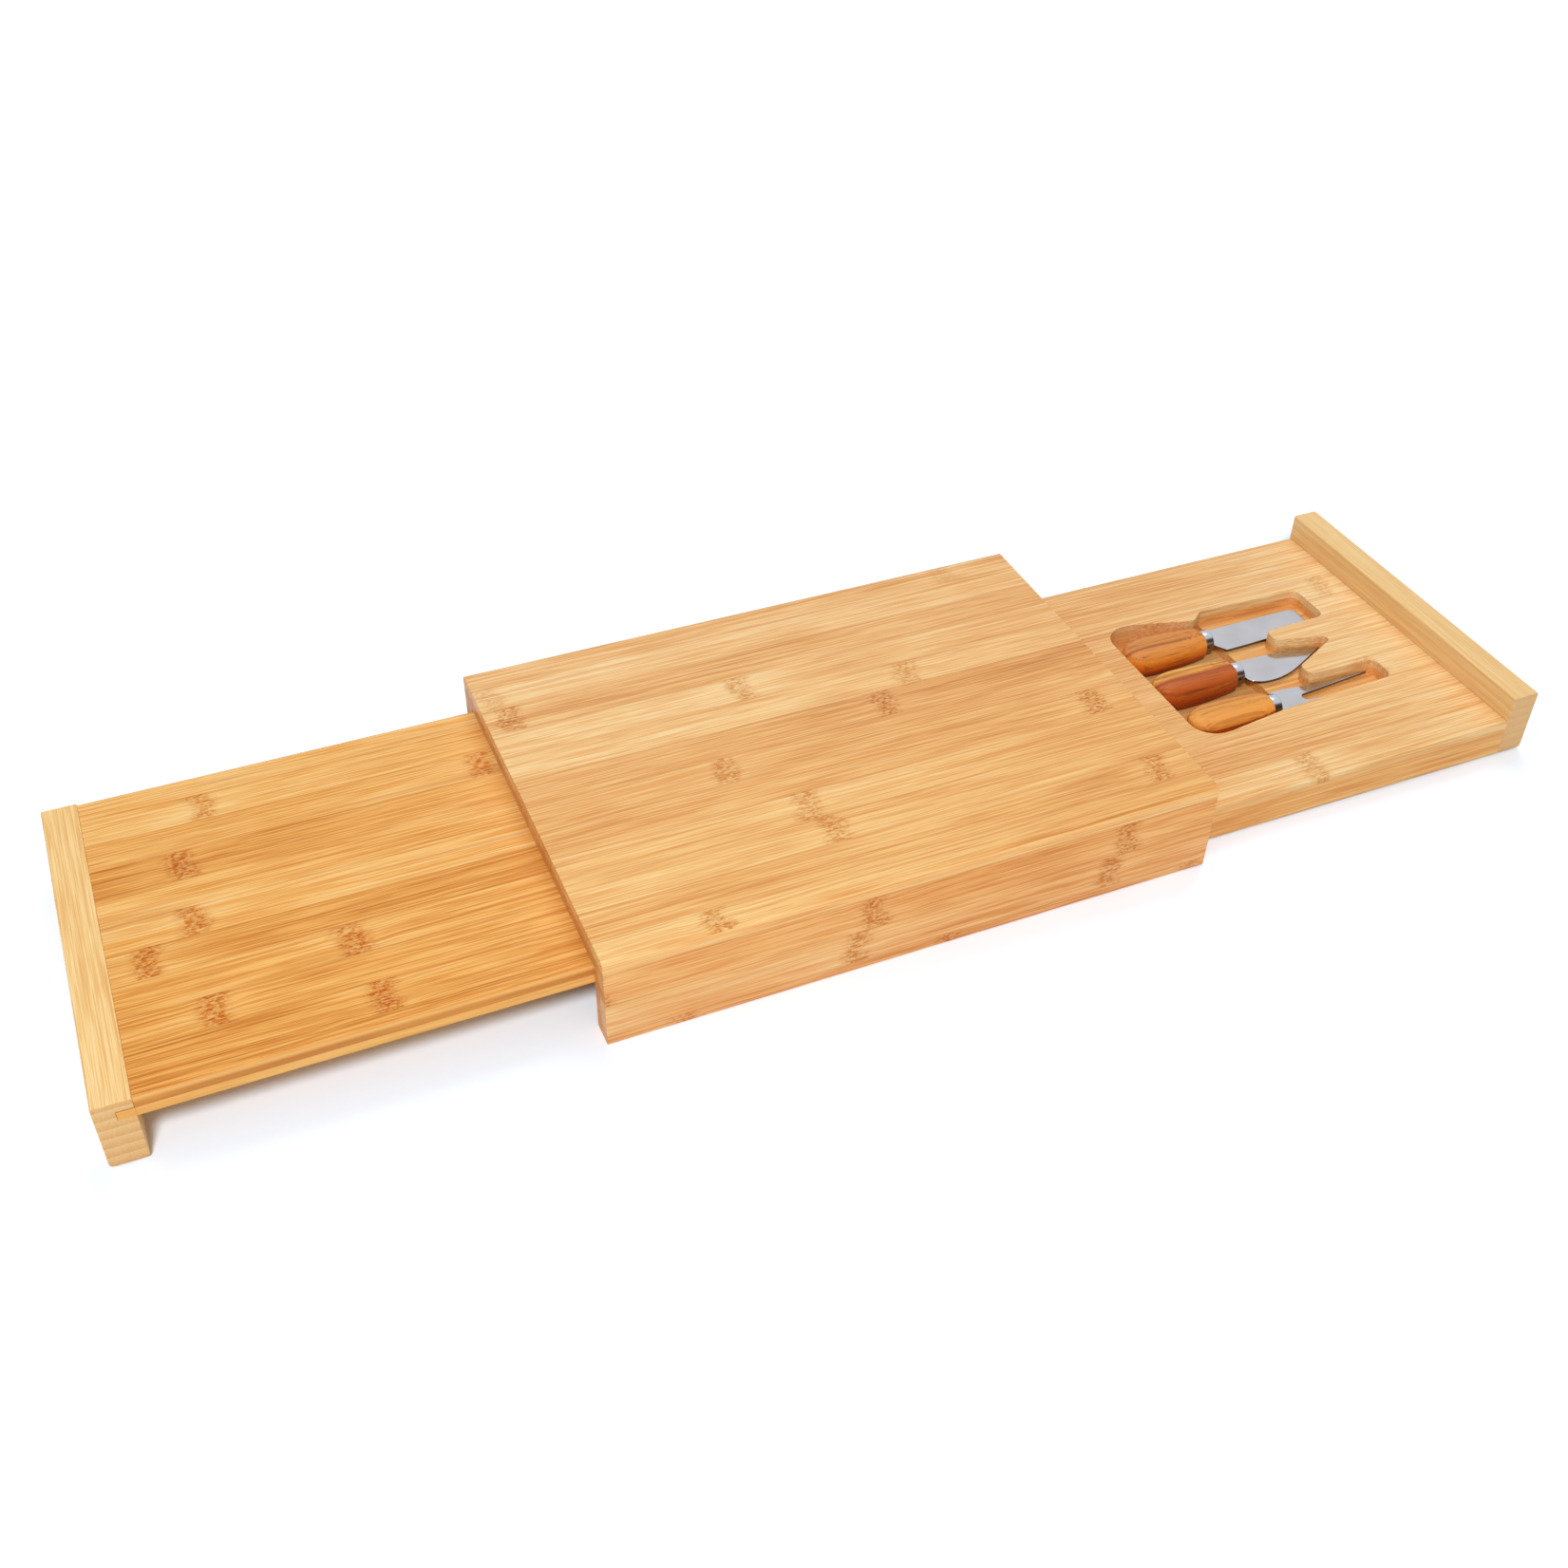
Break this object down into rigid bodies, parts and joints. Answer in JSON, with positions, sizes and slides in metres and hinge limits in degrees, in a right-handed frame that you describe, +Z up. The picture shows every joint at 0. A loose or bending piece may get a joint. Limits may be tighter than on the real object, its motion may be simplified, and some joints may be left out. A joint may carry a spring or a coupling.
{
  "type": "cheese board",
  "caption": "Bamboo cheese board: a block with a plain serving tray sliding out at one end and a drawer with cheese knives at the other.",
  "frame": {"origin": "on the table, under the middle of the fixed block, which is also the middle of the board with both sliders pulled out", "axes": "+X towards the cutlery drawer, along the slides; +Y away from the picture's viewer, across the block; +Z up"},
  "size_m": [0.8, 0.243, 0.055],
  "materials": {
    "bamboo": "satin oiled bamboo",
    "tray_bamboo": "satin oiled bamboo, deeper tone",
    "pale_bamboo": "satin oiled bamboo, pale tone",
    "handle_wood": "satin oiled hardwood",
    "blade_steel": "fine satin stainless steel",
    "ferrule_steel": "polished stainless steel"
  },
  "bodies": {
    "block": {"top_board": "bamboo", "front_side_rail": "bamboo", "back_side_rail": "bamboo", "front_runner": "bamboo", "back_runner": "bamboo"},
    "tray": {"tray_panel": "tray_bamboo", "tray_end_rail": "pale_bamboo", "tray_front_pin": "bamboo", "tray_back_pin": "bamboo"},
    "drawer": {"drawer_panel": "bamboo", "drawer_end_rail": "pale_bamboo", "drawer_front_pin": "bamboo", "drawer_back_pin": "bamboo", "drawer_front_dowel": "bamboo", "drawer_back_dowel": "bamboo"},
    "slicer": {"slicer_handle": "handle_wood", "slicer_ferrule": "ferrule_steel", "slicer_blade": "blade_steel"},
    "heart_knife": {"heart_knife_handle": "handle_wood", "heart_knife_ferrule": "ferrule_steel", "heart_knife_blade": "blade_steel"},
    "fork": {"fork_handle": "handle_wood", "fork_ferrule": "ferrule_steel", "fork_blade": "blade_steel"}
  },
  "joints": [
    {"name": "tray_slide", "type": "slide", "parent": "block", "child": "tray", "axis": [-1, 0, 0], "range_m": [-0.23, 0]},
    {"name": "drawer_slide", "type": "slide", "parent": "block", "child": "drawer", "axis": [1, 0, 0], "range_m": [-0.23, 0]},
    {"name": "slicer_lift", "type": "slide", "parent": "drawer", "child": "slicer", "axis": [0, 0, 1], "range_m": [0, 0.06]},
    {"name": "heart_knife_lift", "type": "slide", "parent": "drawer", "child": "heart_knife", "axis": [0, 0, 1], "range_m": [0, 0.06]},
    {"name": "fork_lift", "type": "slide", "parent": "drawer", "child": "fork", "axis": [0, 0, 1], "range_m": [0, 0.06]}
  ]
}
